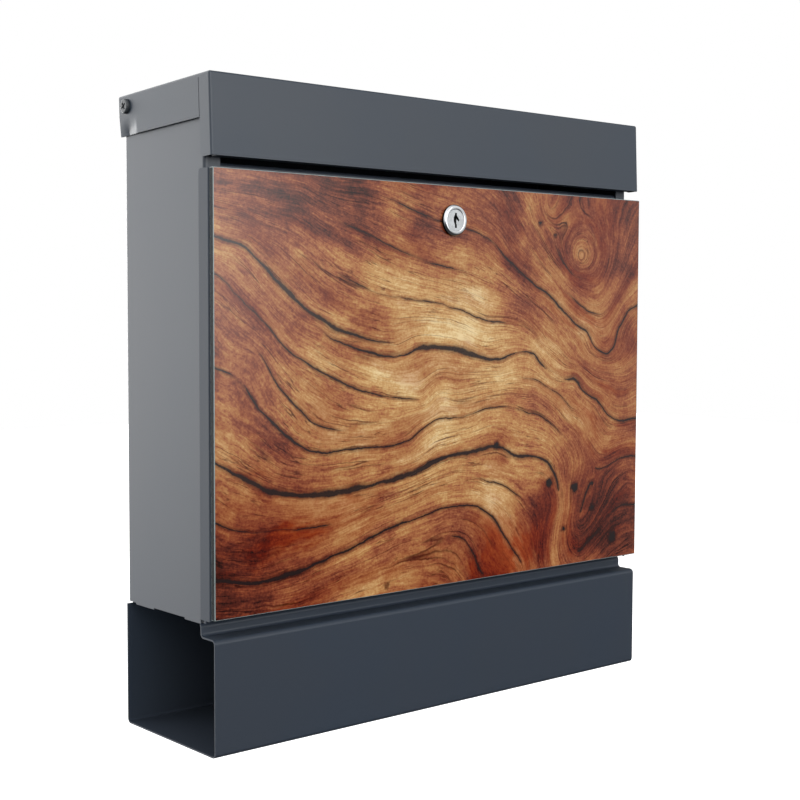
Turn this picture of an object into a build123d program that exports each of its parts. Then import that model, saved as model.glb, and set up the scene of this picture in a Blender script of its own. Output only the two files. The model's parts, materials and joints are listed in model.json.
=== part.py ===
from build123d import *
import os
from math import cos, radians, sin

# Wall mounted letter box: a folded steel body with a letter lid hinged at the rear,
# a bottom-hinged glass-faced door with a cylinder lock, and an open newspaper tube below.
# Frame: +X to the right, the front faces -Y, +Z up. The wall is the plane y = 0, and the
# origin is the centre of the four wall screws on that plane.

# ---- driving dimensions (mm) ----
width = 380.0              # overall width of lid, door and glass
sheet = 1.0                # steel sheet thickness
bend = 1.5                 # inner radius of every fold
standoff = 12.0            # length of the wall spacers
wall_inset = 2.0           # side wall's outer face inside the overall width

lid_top = 170.0            # upper front edge of the lid
lid_front = -113.0         # front face of the lid
lid_height = 49.0          # height of the lid's front flap
lid_depth = 104.3          # lid, front face to rear edge
lid_flange = 25.7          # height of the lid's side flanges
lid_return = 12.0          # depth of the front flap's side returns
lid_tilt = 2.3             # degrees: the seated lid falls towards the wall
lid_hem = 7.0              # turned-back lower edge of the front flap
lid_press = 0.8            # how far the flange is pressed in around the hinge screw

lid_hinge_y = -18.0
lid_hinge_z = 158.7

door_gap = 7.0             # finger gap between the lid's flap and the door
glass_thickness = 4.0
tape_thickness = 0.6
glass_front = -116.6
glass_height = 267.5
pan_height = 269.0
pan_return = 11.2          # depth of the pan's side and lower returns
pan_top_return = 7.0
door_hinge_y = -106.5
door_hinge_z = -151.0

body_front = -104.5        # front face of the in-turned flanges
body_bottom = -158.2       # lower edge of the side walls' two tabs
tab_step = 1.0             # how far those tabs hang below the rest of the edge
front_flange = 11.0        # width of the in-turned flanges

tube_half = 189.5          # half width of the newspaper tube
tube_front = -115.7
tube_bottom = -237.0
ledge_z = -165.3           # top face of the tube's ledge
strip_y = -101.0           # front face of the recessed strip above the ledge

lock_z = 91.0
lock_head_radius = 10.5
lock_head_length = 3.0
barrel_radius = 9.0
barrel_flats = 16.4        # distance across the barrel's two flats
plug_radius = 7.2

hole_spacing_x = 300.0     # wall screw pattern
hole_spacing_z = 190.0
wall_hole_radius = 3.25

running_fit = 0.05         # radial clearance of every turning fit
rivet_radius = 2.0

# ---- derived places ----
half = width / 2
body_back = -standoff
wall_outer = half - wall_inset
wall_inner = wall_outer - sheet
door_top = lid_top - lid_height - door_gap
pan_front = glass_front + glass_thickness + tape_thickness
pan_inner = pan_front + sheet
glass_middle = door_top - glass_height / 2
flange_rear = body_front + sheet
hinge_cut_y = -98.0        # the side wall is cut back to here beside the door hinge
hinge_cut_top = -138.0
floor_top = body_bottom + tab_step + sheet
tube_back = body_back - sheet
floor_back = tube_back - sheet

# The lid has its own plane: origin on the hinge axis, tipped back by its tilt.
lid_plane = Plane(
    origin=(0, lid_hinge_y, lid_hinge_z),
    x_dir=(1, 0, 0),
    z_dir=(0, sin(radians(lid_tilt)), cos(radians(lid_tilt))),
)
edge_from_hinge_y = lid_front - lid_hinge_y
edge_from_hinge_z = lid_top - lid_hinge_z
lid_y0 = edge_from_hinge_y * cos(radians(lid_tilt)) - edge_from_hinge_z * sin(radians(lid_tilt))
lid_z1 = edge_from_hinge_y * sin(radians(lid_tilt)) + edge_from_hinge_z * cos(radians(lid_tilt))


def span(x0, x1, y0, y1, z0, z1, mode=Mode.ADD):
    """A block between two corners, inside the part that is being built."""
    centre = ((x0 + x1) / 2, (y0 + y1) / 2, (z0 + z1) / 2)
    with Locations(centre):
        return Box(x1 - x0, y1 - y0, z1 - z0, mode=mode)


def sideways(x, y=0.0, z=0.0):
    """A plane facing +X at x, whose own x runs along +Y and whose own y runs up."""
    return Plane(origin=(x, y, z), x_dir=(0, 1, 0), z_dir=(1, 0, 0))


def facing_front(y, x=0.0, z=0.0):
    """A plane facing -Y at y, whose own x runs to the right and whose own y runs up."""
    return Plane(origin=(x, y, z), x_dir=(1, 0, 0), z_dir=(0, -1, 0))


def save(part, name):
    """Label a finished piece and write its STEP file."""
    part.label = name
    export_step(part, f"parts/{name}.step")


# ---- body: one folded sheet, back panel, side walls and in-turned front flanges ----
body_depth = body_back - body_front
body_centre_y = (body_back + body_front) / 2
wall_points = [(x, z) for z in (hole_spacing_z / 2, -hole_spacing_z / 2)
               for x in (-hole_spacing_x / 2, hole_spacing_x / 2)]
tube_rivet_x = (-150.0, -50.0, 50.0, 150.0)
tube_rivet_z = -148.0
front_rivet_x = (-120.0, 0.0, 120.0)
front_rivet_y = -88.0
crossbar_rivet_x = wall_outer - 6.0
crossbar_rivet_z = 106.0
lid_clear = 0.6            # gap between the lid's underside and the body's top edge
lid_swing = 6.1            # radius about the hinge that the lid's underside stays clear of
rear_tab = (-44.0, -22.0)
front_tab = (hinge_cut_y, -80.0)

with BuildPart() as body_wrap:
    with BuildSketch(Plane.XY.offset(body_bottom)):
        with Locations((0, body_centre_y)):
            RectangleRounded(2 * wall_outer, body_depth, bend + sheet)
            RectangleRounded(2 * wall_inner, body_depth - 2 * sheet, bend, mode=Mode.SUBTRACT)
        with Locations((0, body_front)):
            Rectangle(2 * (wall_outer - front_flange), 4 * sheet, mode=Mode.SUBTRACT)
    extrude(amount=lid_top - body_bottom)
    # The top edge runs parallel to the underside of the lid.
    with BuildSketch(lid_plane.offset(lid_z1 - sheet - lid_clear)):
        Rectangle(3 * width, 3 * width)
    extrude(amount=lid_height, mode=Mode.SUBTRACT)
    # The rear top corner is rounded about the lid's hinge, so that the lid swings past it.
    with BuildSketch(sideways(0.0, lid_hinge_y, lid_hinge_z)):
        Rectangle(2 * lid_swing, 2 * lid_swing, align=(Align.MIN, Align.MIN))
        Circle(lid_swing, mode=Mode.SUBTRACT)
    extrude(amount=half, both=True, mode=Mode.SUBTRACT)
    # The lower front corners are cut back around the door hinge.
    span(-half, half, body_front - 1, hinge_cut_y, body_bottom, hinge_cut_top, Mode.SUBTRACT)
    # The lower edge hangs down only at two tabs on each side.
    low_edge = body_bottom + tab_step
    span(-half, half, front_tab[1], rear_tab[0], body_bottom, low_edge, Mode.SUBTRACT)
    span(-half, half, rear_tab[1], body_back, body_bottom, low_edge, Mode.SUBTRACT)
    with Locations(facing_front(tube_back)):
        with Locations(*wall_points):
            Hole(wall_hole_radius, depth=2 * sheet)
        with Locations(*[(x, tube_rivet_z) for x in tube_rivet_x]):
            Hole(rivet_radius + 0.1, depth=2 * sheet)
    with Locations(facing_front(body_front)):
        with Locations((-crossbar_rivet_x, crossbar_rivet_z), (crossbar_rivet_x, crossbar_rivet_z)):
            Hole(rivet_radius + 0.1, depth=2 * sheet)
    with BuildSketch(sideways(-half, lid_hinge_y, lid_hinge_z)):
        Circle(2.0 + 0.1)
    extrude(amount=width, mode=Mode.SUBTRACT)
save(body_wrap.part, "body_wrap")

# ---- floor of the letter space, with upturned edges at the sides and the rear ----
floor_half = wall_inner - 0.2
floor_bottom = floor_top - sheet
floor_edge = 8.0
rear_edge_top = tube_rivet_z + 6.0
drain_radius = 2.5

with BuildPart() as floor_panel:
    span(-floor_half, floor_half, hinge_cut_y, floor_back, floor_bottom, floor_top)
    for side in (-1, 1):
        x0, x1 = sorted((side * floor_half, side * (floor_half - sheet)))
        span(x0, x1, -76.0, floor_back - 2 * sheet, floor_top, floor_top + floor_edge)
    rear_half = floor_half - 2 * sheet
    span(-rear_half, rear_half, floor_back - sheet, floor_back, floor_top, rear_edge_top)
    with Locations((0, -50.0, floor_top)):
        with GridLocations(140.0, 1.0, 3, 1):
            Hole(drain_radius, depth=2 * sheet)
    with Locations(*[(x, front_rivet_y, floor_top) for x in front_rivet_x]):
        Hole(rivet_radius + 0.1, depth=2 * sheet)
    with Locations(facing_front(floor_back - sheet)):
        with Locations(*[(x, tube_rivet_z) for x in tube_rivet_x]):
            Hole(rivet_radius + 0.1, depth=2 * sheet)
save(floor_panel.part, "floor_panel")


def folded_sheet(points, half_length, fold=bend + sheet / 2):
    """One folded sheet whose middle line runs through the points (y, z), inside a part."""
    with BuildSketch(sideways(0.0)) as profile:
        with BuildLine():
            FilletPolyline(*points, radius=fold)
        trace(line_width=sheet)
    extrude(profile.sketch, amount=half_length, both=True)


# ---- crossbar below the letter slot, with the chute that letters slide down ----
crossbar_half = wall_inner - bend - 0.3
lip_middle = flange_rear + sheet / 2
lip_bottom = 102.0
lip_top = 120.0
chute_length = 50.0
chute_slope = radians(35.0)
chute_y = lip_middle + chute_length * cos(chute_slope)
chute_z = lip_top - sheet / 2 - chute_length * sin(chute_slope)

with BuildPart() as slot_crossbar:
    folded_sheet(
        [
            (lip_middle, lip_bottom),
            (lip_middle, lip_top - sheet / 2),
            (chute_y, chute_z),
            (chute_y, chute_z - 6.0),
        ],
        crossbar_half,
    )
    with Locations(facing_front(flange_rear)):
        with Locations((-crossbar_rivet_x, crossbar_rivet_z), (crossbar_rivet_x, crossbar_rivet_z)):
            Hole(rivet_radius + 0.1, depth=2 * sheet)
save(slot_crossbar.part, "slot_crossbar")

# ---- newspaper tube: one folded sheet, open at both ends, riveted below the body ----
lap_half = wall_inner - bend - 0.3
tube_points = [
    (-80.0, floor_bottom - sheet / 2),
    (strip_y + sheet / 2, floor_bottom - sheet / 2),
    (strip_y + sheet / 2, ledge_z - sheet / 2),
    (tube_front + sheet / 2, ledge_z - sheet / 2),
    (tube_front + sheet / 2, tube_bottom + sheet / 2),
    (tube_back - sheet / 2, tube_bottom + sheet / 2),
    (tube_back - sheet / 2, rear_edge_top),
]

with BuildPart() as newspaper_tube:
    folded_sheet(tube_points, tube_half, fold=2.5)
    # The two edges that lap onto the body pass between its side walls.
    for side in (-1, 1):
        x0, x1 = sorted((side * lap_half, side * (tube_half + 1)))
        span(x0, x1, strip_y + 1.5 * sheet, -70.0, body_bottom - 1.5, floor_top, Mode.SUBTRACT)
        span(x0, x1, -20.0, body_back, body_bottom - 0.5, rear_edge_top + 1, Mode.SUBTRACT)
    with Locations(*[(x, front_rivet_y, floor_bottom) for x in front_rivet_x]):
        Hole(rivet_radius + 0.1, depth=2 * sheet)
    with Locations(facing_front(tube_back - sheet)):
        with Locations(*[(x, tube_rivet_z) for x in tube_rivet_x]):
            Hole(rivet_radius + 0.1, depth=2 * sheet)
save(newspaper_tube.part, "newspaper_tube")


# ---- rivets ----
def rivet(place, grip):
    """A rivet along the plane's normal, with its grip behind the plane, inside a part."""
    head_height = 1.2
    with Locations(place * Pos(0, 0, -grip / 2)):
        Cylinder(rivet_radius, grip)
    with Locations(place * Pos(0, 0, head_height / 2)):
        Cone(rivet_radius + 1.6, rivet_radius + 0.4, head_height)
    with Locations(place * Pos(0, 0, -grip - head_height / 2)):
        Cone(rivet_radius + 0.4, rivet_radius + 1.2, head_height)


with BuildPart() as tube_rivets:
    for x in tube_rivet_x:
        rivet(facing_front(floor_back - sheet, x, tube_rivet_z), 3 * sheet)
    for x in front_rivet_x:
        rivet(Plane(origin=(x, front_rivet_y, floor_top)), 2 * sheet)
save(tube_rivets.part, "tube_rivets")

with BuildPart() as crossbar_rivets:
    for side in (-1, 1):
        rivet(facing_front(body_front, side * crossbar_rivet_x, crossbar_rivet_z), 2 * sheet)
save(crossbar_rivets.part, "crossbar_rivets")

# ---- wall spacers, one behind each wall screw hole ----
with BuildPart() as wall_spacers:
    for x, z in wall_points:
        with BuildSketch(facing_front(0.0, x, z)):
            Circle(9.0)
            Circle(wall_hole_radius, mode=Mode.SUBTRACT)
        extrude(amount=standoff)
save(wall_spacers.part, "wall_spacers")

# ---- lid: one folded pan with a deep front flap, made square on its own plane ----
lid_y1 = lid_y0 + lid_depth
lid_z0 = lid_z1 - lid_height
flange_z0 = lid_z1 - lid_flange
hinge_shoulder = 2.5
press_y = -8.0             # the pressed corner of the flange starts here, behind the crease
press_top = -6.0

lid_up = Axis((0, 0, 0), lid_plane.z_dir)
lid_back = Axis((0, 0, 0), lid_plane.y_dir)

with BuildPart(lid_plane) as lid:
    span(-half, half, lid_y0, lid_y1, lid_z0, lid_z1)
    top_edges = lid.faces().sort_by(lid_up)[-1].edges()
    front_face = lid.faces().sort_by(lid_back)[0]
    sides = front_face.edges().filter_by(lid_up)
    folds = top_edges.sort_by(lid_back)[:-1]
    fillet(folds + sides, bend)
    span(-half + sheet, half - sheet, lid_y0 + sheet, lid_y1 + 1, lid_z0 - 1, lid_z1 - sheet, Mode.SUBTRACT)
    rear_of_return = lid_y0 + lid_return
    span(-half - 1, half + 1, rear_of_return, lid_y1 + 1, lid_z0 - 1, flange_z0, Mode.SUBTRACT)
    # A hem stiffens the flap's lower edge, and a slit parts each return from its flange.
    span(-half + 5, half - 5, lid_y0 + sheet / 2, lid_y0 + lid_hem, lid_z0, lid_z0 + sheet)
    for side in (-1, 1):
        x0, x1 = sorted((side * (half - 2 * sheet), side * (half + 1)))
        slit_top = lid_z1 - 2.5
        span(x0, x1, rear_of_return - 0.5, rear_of_return, lid_z0 - 1, slit_top, Mode.SUBTRACT)
        outer = side * half
        inner = side * (half - sheet)
        step = side * lid_press
        out = side * 1.0
        lap = side * 0.02
        # The flange's lower rear corner is pressed in, deepest at its lower edge.
        with BuildSketch(lid_plane.offset(flange_z0)):
            Polygon((outer, press_y - 5), (outer - step, press_y), (outer - step, lid_y1 + 1),
                    (outer + out, lid_y1 + 1), (outer + out, press_y - 5), align=None)
        with BuildSketch(lid_plane.offset(press_top)):
            Polygon((outer, press_y - 5), (outer - lap, press_y), (outer - lap, lid_y1 + 1),
                    (outer + out, lid_y1 + 1), (outer + out, press_y - 5), align=None)
        loft(mode=Mode.SUBTRACT)
        with BuildSketch(lid_plane.offset(flange_z0)):
            Polygon((inner, press_y - 5), (inner - step, press_y), (inner - step, lid_y1),
                    (inner + lap, lid_y1), (inner + lap, press_y - 5), align=None)
        with BuildSketch(lid_plane.offset(press_top)):
            Polygon((inner, press_y - 5), (inner - lap, press_y), (inner - lap, lid_y1),
                    (inner + lap, lid_y1), (inner + lap, press_y - 5), align=None)
        loft()
    with BuildSketch(sideways(-half - 1, lid_hinge_y, lid_hinge_z)):
        Circle(hinge_shoulder + running_fit)
    extrude(amount=width + 2, mode=Mode.SUBTRACT)
    lengthwise = lid.edges().filter_by(Axis.X)
    low_rear = lengthwise.filter_by(lambda e: abs(e.length - sheet) < 0.4)
    corners = []
    for edge in low_rear:
        place = lid_plane.to_local_coords(edge.center())
        if abs(place.Y - (rear_of_return - 0.5)) < 0.1 and abs(place.Z - lid_z0) < 0.1:
            corners.append(edge)
    fillet(corners, 3.0)
save(lid.part, "lid")

# ---- lid hinge: a shouldered screw, a washer and a nut on each side ----
screw_head_radius = 4.6
screw_head_height = 2.2
screw_core = 2.0
screw_end = 182.5
nut_flats = 7.0
nut_height = 3.2
head_seat = half + 0.1

with BuildPart() as lid_hinge_screws:
    for side in (-1, 1):
        turned = Plane(
            origin=(side * head_seat, lid_hinge_y, lid_hinge_z),
            x_dir=(0, 1, 0),
            z_dir=(side, 0, 0),
        )
        with BuildSketch(turned):
            Circle(screw_head_radius)
        extrude(amount=screw_head_height)
        rim = lid_hinge_screws.faces().sort_by(Axis.X)[-1 if side > 0 else 0].edges()
        fillet(rim, 1.2)
        with BuildSketch(turned):
            Circle(hinge_shoulder)
        extrude(amount=wall_outer - head_seat)
        with BuildSketch(turned):
            Circle(screw_core)
        extrude(amount=screw_end - head_seat)
        # The cross recess for the screwdriver.
        with BuildSketch(turned.offset(screw_head_height)):
            Rectangle(5.0, 1.1, rotation=35)
            Rectangle(5.0, 1.1, rotation=125)
        extrude(amount=-1.4, mode=Mode.SUBTRACT)
save(lid_hinge_screws.part, "lid_hinge_screws")

with BuildPart() as lid_hinge_washers:
    for side in (-1, 1):
        with BuildSketch(sideways(side * (wall_outer + half - sheet) / 2, lid_hinge_y, lid_hinge_z)):
            Circle(4.5)
            Circle(hinge_shoulder, mode=Mode.SUBTRACT)
        extrude(amount=0.45, both=True)
save(lid_hinge_washers.part, "lid_hinge_washers")

with BuildPart() as lid_hinge_nuts:
    for side in (-1, 1):
        with BuildSketch(sideways(side * (wall_inner - nut_height / 2), lid_hinge_y, lid_hinge_z)):
            RegularPolygon(nut_flats / 2, 6, major_radius=False, rotation=30)
            Circle(screw_core, mode=Mode.SUBTRACT)
        extrude(amount=nut_height / 2, both=True)
save(lid_hinge_nuts.part, "lid_hinge_nuts")

# ---- door pan: front plate with four returns, the lower one with mitred ends ----
pan_bottom = door_top - pan_height
side_rear = pan_front + pan_return
lower_half = 185.0

with BuildPart() as door_pan:
    span(-half, half, pan_front, side_rear, pan_bottom, door_top)
    fillet(door_pan.faces().sort_by(Axis.Y)[0].edges(), bend)
    clear_half = half - sheet
    clear_rear = side_rear + 1
    span(-clear_half, clear_half, pan_inner, clear_rear, pan_bottom + sheet, door_top - sheet, Mode.SUBTRACT)
    top_rear = pan_front + pan_top_return
    span(-clear_half, clear_half, top_rear, clear_rear, door_top - 2 * sheet, door_top + 1, Mode.SUBTRACT)
    for side in (-1, 1):
        with BuildSketch(Plane.XY.offset(pan_bottom - 1)):
            Polygon(
                (side * (half - sheet), pan_inner), (side * lower_half, pan_inner),
                (side * (lower_half - 4.0), pan_inner + 4.0), (side * (lower_half - 4.0), side_rear + 1),
                (side * (half - sheet), side_rear + 1), align=None,
            )
        extrude(amount=2 * sheet + 1, mode=Mode.SUBTRACT)
        # A small corner tab is left standing below each side return.
        x0, x1 = sorted((side * half, side * (half - sheet)))
        span(x0, x1, door_hinge_y - 0.1, door_hinge_y + 1.5, pan_bottom - 1.7, pan_bottom + 1)
    corner_edges = door_pan.edges().filter_by(Axis.X).filter_by(lambda e: abs(e.length - sheet) < 0.1)
    fillet(corner_edges.group_by(Axis.Y)[-1], 1.8)
    with BuildSketch(facing_front(pan_inner + 1, z=lock_z)):
        Circle(barrel_radius + 0.1)
        Rectangle(barrel_flats + 0.2, 4 * barrel_radius, mode=Mode.INTERSECT)
    extrude(amount=3 * sheet, mode=Mode.SUBTRACT)
save(door_pan.part, "door_pan")

# ---- door glass and the adhesive tape that holds it to the pan ----
with BuildPart() as door_glass:
    span(-half, half, glass_front, glass_front + glass_thickness, glass_middle - glass_height / 2, door_top)
    chamfer(door_glass.edges(), 0.4)
    with BuildSketch(facing_front(glass_front + glass_thickness + 1, z=lock_z)):
        Circle(barrel_radius + 0.6)
    extrude(amount=glass_thickness + 2, mode=Mode.SUBTRACT)
save(door_glass.part, "door_glass")

tape_inset = 3.0
tape_width = 12.0

with BuildPart() as glass_tape:
    y0, y1 = glass_front + glass_thickness, pan_front
    tape_half = half - tape_inset
    z0 = glass_middle - glass_height / 2 + tape_inset
    z1 = door_top - tape_inset
    span(-tape_half, tape_half, y0, y1, z1 - tape_width, z1)
    span(-tape_half, tape_half, y0, y1, z0, z0 + tape_width)
    for side in (-1, 1):
        x0, x1 = sorted((side * tape_half, side * (tape_half - tape_width)))
        span(x0, x1, y0, y1, z0 + tape_width + 0.5, z1 - tape_width - 0.5)
    with BuildSketch(facing_front(pan_inner, z=lock_z)):
        Circle(barrel_radius + 3.0)
    extrude(amount=3 * sheet, mode=Mode.SUBTRACT)
save(glass_tape.part, "glass_tape")

# ---- door hinge: a plate inside each side wall and a pin inside each side return ----
pin_radius = 2.0
plate_thickness = 1.5
pin_end = 184.2

for side, name in ((-1, "door_hinge_plate_left"), (1, "door_hinge_plate_right")):
    with BuildPart() as hinge_plate:
        with BuildSketch(sideways(side * (wall_inner - plate_thickness / 2))):
            with Locations((door_hinge_y, door_hinge_z)):
                Circle(4.0)
            with Locations(((hinge_cut_y - 80.0) / 2, -142.0)):
                Rectangle(-80.0 - hinge_cut_y, 16.0)
            make_hull()
            with Locations((door_hinge_y, door_hinge_z)):
                Circle(pin_radius + running_fit, mode=Mode.SUBTRACT)
        extrude(amount=plate_thickness / 2, both=True)
    save(hinge_plate.part, name)

with BuildPart() as door_hinge_pins:
    for side in (-1, 1):
        inward = Plane(
            origin=(side * (half - sheet), door_hinge_y, door_hinge_z),
            x_dir=(0, 1, 0),
            z_dir=(-side, 0, 0),
        )
        with BuildSketch(inward):
            Circle(pin_radius)
        extrude(amount=half - sheet - pin_end)
        with BuildSketch(inward):
            Circle(pin_radius + 1.2)
        extrude(amount=half - sheet - wall_inner - 0.3)
save(door_hinge_pins.part, "door_hinge_pins")

# ---- cylinder lock: gasket, housing, plug, nut, cam, washer and screw ----
gasket = 0.5
head_rear = glass_front - gasket
head_front = head_rear - lock_head_length + gasket
barrel_rear = -104.0
plug_front = head_front + 0.4
plug_bore = plug_radius + running_fit
boss_radius = 5.5
cam_front = -101.0
cam_thickness = 2.0
cam_rear = cam_front + cam_thickness
square = 6.0
cam_length = 20.0
cam_width = 14.0

with BuildPart() as lock_gasket:
    with BuildSketch(facing_front(glass_front, z=lock_z)):
        Circle(lock_head_radius - 0.3)
        Circle(barrel_radius, mode=Mode.SUBTRACT)
    extrude(amount=gasket)
save(lock_gasket.part, "lock_gasket")

with BuildPart() as lock_housing:
    with BuildSketch(facing_front(head_rear, z=lock_z)):
        Circle(lock_head_radius)
    extrude(amount=lock_head_length - gasket)
    fillet(lock_housing.faces().sort_by(Axis.Y)[0].edges(), 1.0)
    with BuildSketch(facing_front(head_rear, z=lock_z)):
        Circle(barrel_radius)
        Rectangle(barrel_flats, 4 * barrel_radius, mode=Mode.INTERSECT)
    extrude(amount=head_rear - barrel_rear)
    with BuildSketch(facing_front(barrel_rear + 1, z=lock_z)):
        Circle(plug_bore)
    extrude(amount=barrel_rear + 1 - head_front + 1, mode=Mode.SUBTRACT)
save(lock_housing.part, "lock_housing")

with BuildPart() as lock_plug:
    with BuildSketch(facing_front(plug_front, z=lock_z)):
        Circle(plug_radius)
    extrude(amount=plug_front - barrel_rear - 0.1)
    with BuildSketch(facing_front(barrel_rear + 0.1, z=lock_z)):
        Circle(boss_radius)
    extrude(amount=barrel_rear + 0.1 - cam_front)
    with BuildSketch(facing_front(cam_front, z=lock_z)):
        Rectangle(square, square)
    extrude(amount=cam_front - cam_rear)
    # A stepped key slot with a short slanted ward beside it.
    with BuildSketch(facing_front(plug_front, z=lock_z)):
        with BuildLine():
            Polyline((-0.8, 4.8), (0.7, 4.8), (0.7, 3.4), (1.2, 2.5), (3.1, 0.2), (2.1, -0.8),
                     (0.5, 1.0), (0.3, -2.2), (0.8, -3.2), (0.8, -5.0), (-0.9, -5.0),
                     (-0.9, -3.0), (-1.9, -0.8), (-2.0, 1.6), (-1.3, 3.0), (-0.8, 3.6), close=True)
        make_face()
    extrude(amount=-8.0, mode=Mode.SUBTRACT)
    with BuildSketch(facing_front(cam_rear, z=lock_z)):
        Circle(screw_core)
    extrude(amount=6.0, mode=Mode.SUBTRACT)
save(lock_plug.part, "lock_plug")

with BuildPart() as lock_nut:
    with BuildSketch(facing_front(pan_inner, z=lock_z)):
        RegularPolygon(12.0, 6, major_radius=False)
        Circle(barrel_radius, mode=Mode.SUBTRACT)
    extrude(amount=-4.0)
save(lock_nut.part, "lock_nut")

with BuildPart() as lock_cam:
    with BuildSketch(facing_front(cam_front, z=lock_z)):
        Circle(8.5)
        with Locations(((cam_length - cam_width / 2) / 2, 0)):
            Rectangle(cam_length - cam_width / 2, cam_width)
        with Locations((cam_length - cam_width / 2, 0)):
            Circle(cam_width / 2)
        Rectangle(square + 0.1, square + 0.1, mode=Mode.SUBTRACT)
    extrude(amount=-cam_thickness)
save(lock_cam.part, "lock_cam")

with BuildPart() as cam_washer:
    with BuildSketch(facing_front(cam_rear, z=lock_z)):
        Circle(6.0)
        Circle(screw_core + 0.1, mode=Mode.SUBTRACT)
    extrude(amount=-1.0)
save(cam_washer.part, "cam_washer")

with BuildPart() as cam_screw:
    with BuildSketch(facing_front(cam_rear + 1.0, z=lock_z)):
        Circle(3.8)
    extrude(amount=-2.4)
    fillet(cam_screw.faces().sort_by(Axis.Y)[-1].edges(), 1.0)
    with BuildSketch(facing_front(cam_rear + 1.0, z=lock_z)):
        Circle(screw_core)
    extrude(amount=6.6)
save(cam_screw.part, "cam_screw")
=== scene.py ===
"""Looks of a wall mounted mailbox: folded painted sheet, a printed glass door and a chromed lock."""
import json
import logging
from dataclasses import dataclass, field
from enum import Enum
from math import cos, pi, radians, sin
from typing import Any, Callable, Optional, Sequence, Union

import bmesh
import bpy
import numpy as np
from mathutils import Matrix, Vector


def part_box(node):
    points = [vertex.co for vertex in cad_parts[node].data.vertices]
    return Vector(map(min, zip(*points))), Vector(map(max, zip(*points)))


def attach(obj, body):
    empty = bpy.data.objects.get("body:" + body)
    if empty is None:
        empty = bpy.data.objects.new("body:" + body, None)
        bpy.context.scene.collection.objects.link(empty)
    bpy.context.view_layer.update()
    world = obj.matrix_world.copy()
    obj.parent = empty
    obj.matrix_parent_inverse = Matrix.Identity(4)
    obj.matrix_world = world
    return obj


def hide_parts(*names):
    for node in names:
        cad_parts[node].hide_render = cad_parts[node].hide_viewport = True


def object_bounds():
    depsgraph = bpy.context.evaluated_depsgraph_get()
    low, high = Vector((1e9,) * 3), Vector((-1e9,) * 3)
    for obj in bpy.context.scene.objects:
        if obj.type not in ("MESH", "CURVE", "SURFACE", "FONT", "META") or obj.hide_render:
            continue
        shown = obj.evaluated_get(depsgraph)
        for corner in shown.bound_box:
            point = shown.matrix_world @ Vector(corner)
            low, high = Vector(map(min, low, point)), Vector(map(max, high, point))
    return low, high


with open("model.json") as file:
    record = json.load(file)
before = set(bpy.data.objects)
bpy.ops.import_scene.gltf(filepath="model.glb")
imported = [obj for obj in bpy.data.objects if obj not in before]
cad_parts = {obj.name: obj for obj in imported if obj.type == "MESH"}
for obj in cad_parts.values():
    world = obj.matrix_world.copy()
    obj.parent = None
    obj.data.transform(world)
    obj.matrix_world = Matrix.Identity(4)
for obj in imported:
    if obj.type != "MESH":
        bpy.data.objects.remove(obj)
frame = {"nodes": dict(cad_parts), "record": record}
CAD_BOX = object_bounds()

MM = 0.001
CRACK_GROUPS = ("a", "b", "c")
PRESSED = (-0.0205, 0.1412)
LOG = logging.getLogger("mailbox")
Operand = Union["Signal", float, int]
Colour = tuple[float, float, float, float]


class Surface(Enum):
    """The named finishes of the mailbox."""

    PAINT = "satin_anthracite"
    PAN_PAINT = "flatter_anthracite"
    LID_PAINT = "pressed_anthracite"
    PRINT = "wood_print_under_glass"
    GLASS_EDGE = "ground_glass_edge"
    ARRIS_PAINTED_HIGHLIGHT = "polished_glass_arris"
    # pale grey on the pane's arris: a painted highlight
    CHROME = "polished_chrome"
    # dark chrome on the lock head's side: painted shade
    CHROME_PAINTED_SHADE = "darkened_chrome"
    BRUSHED = "brushed_chrome"
    ZINC = "zinc_plate"
    BLACKENED = "blackened_steel"
    RUBBER = "black_rubber"
    PLASTIC = "moulded_black_plastic"
    FOAM = "foam_tape"


# ---------------------------------------------------------------- shader wrapping

def paint(code: str) -> Colour:
    """Turn a display colour such as "#3a3f44" into linear red, green, blue and alpha.

    Args:
        code: six hexadecimal digits after a hash sign.

    Returns:
        The linear colour that a shader socket takes.
    """
    shares = np.array([int(code[i:i + 2], 16) / 255 for i in (1, 3, 5)])
    linear = np.where(shares <= 0.04045, shares / 12.92, ((shares + 0.055) / 1.055) ** 2.4)
    return (float(linear[0]), float(linear[1]), float(linear[2]), 1.0)


def arithmetic(operation: str, swapped: bool = False) -> Callable[["Signal", Operand], "Signal"]:
    """Make an operator that adds one Math node.

    Args:
        operation: the node's operation, such as "ADD".
        swapped: whether the other operand comes first.

    Returns:
        The operator, as a method of Signal.
    """
    def operator(self: "Signal", other: Operand) -> "Signal":
        """Feed this signal and the other operand to the node."""
        return self.math(operation, *((other, self) if swapped else (self, other)))

    return operator


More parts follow.
